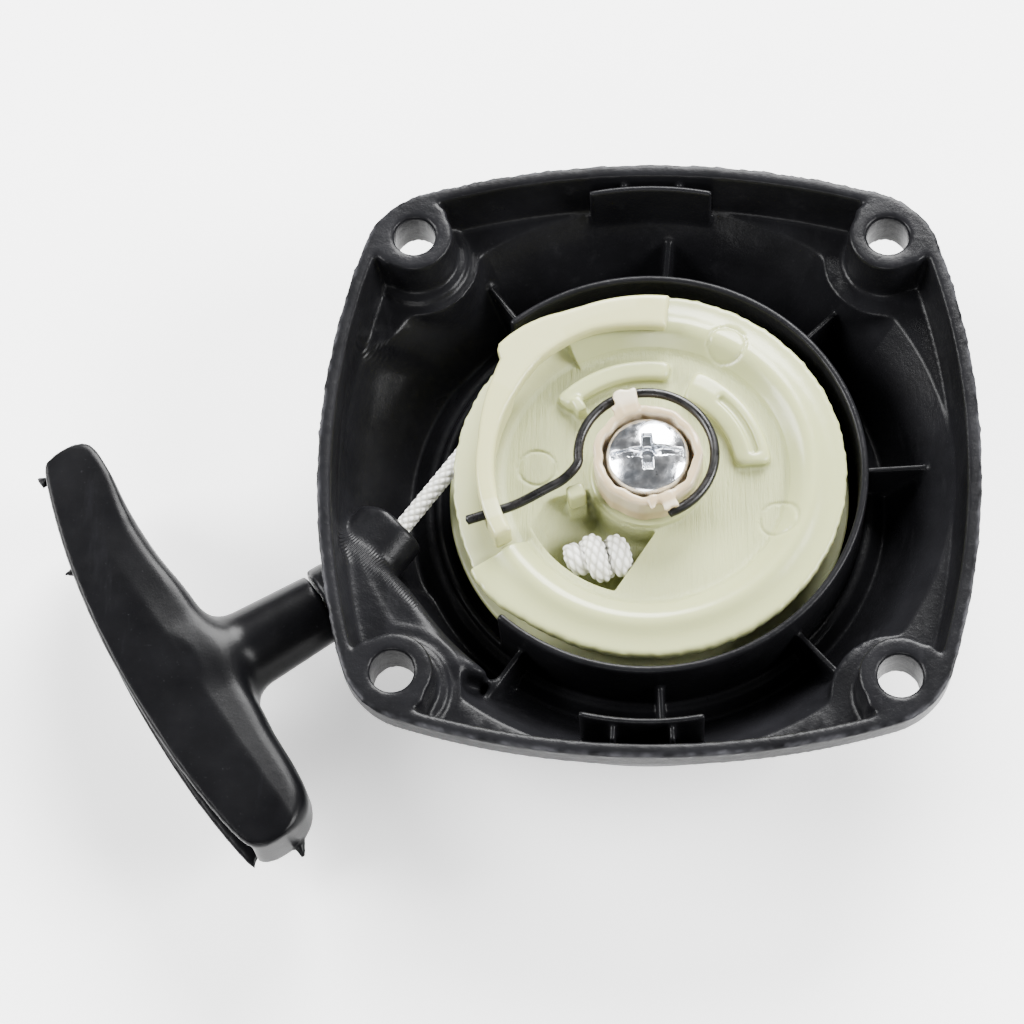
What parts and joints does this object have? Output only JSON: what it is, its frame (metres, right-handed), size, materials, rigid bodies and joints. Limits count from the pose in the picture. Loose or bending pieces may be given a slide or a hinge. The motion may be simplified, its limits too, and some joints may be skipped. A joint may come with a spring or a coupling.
{
  "type": "recoil starter",
  "caption": "Small-engine recoil starter: square black housing, nylon rope reel with pawl and friction wire, centre screw, rope and pull handle.",
  "frame": {"origin": "centre of the flat back face, on the reel's axis", "axes": "+Z along the reel's axis, out of the open engine side; +Y towards the side with the pawl's pivot; the handle is pulled towards -X and -Y"},
  "size_m": [0.152, 0.1177, 0.032],
  "materials": {
    "black_plastic": "satin moulded black, scuffed edges",
    "handle_plastic": "satin moulded black, smooth",
    "natural_nylon": "undyed nylon, slightly translucent, finely scratched",
    "pawl_nylon": "undyed nylon, smooth",
    "cream_nylon": "cream nylon, satin",
    "oiled_wire": "black oiled spring wire",
    "bright_zinc": "bright zinc plating",
    "brass": "plain turned",
    "spring_steel": "oiled strip",
    "white_rope": "white braided nylon cord"
  },
  "bodies": {
    "housing": {"starter_housing": "black_plastic", "threaded_insert": "brass", "friction_collar": "cream_nylon", "centre_screw": "bright_zinc", "recoil_spring": "spring_steel", "rope_lead": "white_rope"},
    "reel": {"rope_reel": "natural_nylon", "rope_coil": "white_rope", "reel_knot": "white_rope"},
    "pawl": {"ratchet_pawl": "pawl_nylon"},
    "wire": {"friction_wire": "oiled_wire"},
    "handle": {"pull_handle": "handle_plastic", "handle_rope": "white_rope", "handle_knot": "white_rope"}
  },
  "joints": [
    {"name": "reel_spin", "type": "hinge", "parent": "housing", "child": "reel", "pos_m": [0, 0, 0], "axis": [0, 0, 1], "range_deg": [0, 1260], "stiffness_Nm_per_rad": 0.02},
    {"name": "handle_pull", "type": "slide", "parent": "housing", "child": "handle", "axis": [-0.8387, -0.5446, 0], "range_m": [0, 0.5725]},
    {"name": "pawl_swing", "type": "hinge", "parent": "reel", "child": "pawl", "pos_m": [0, 0.0282, 0.0257], "axis": [0, 0, -1], "range_deg": [0, 9]},
    {"name": "wire_turn", "type": "hinge", "parent": "reel", "child": "wire", "pos_m": [0, 0, 0.0275], "axis": [0, 0, -1], "range_deg": [0, 13.1]}
  ],
  "couplings": [
    {"joint": "handle_pull", "follows": "reel_spin", "m_per_rad": 0.026},
    {"joint": "wire_turn", "follows": "pawl_swing", "ratio": 1.45}
  ]
}
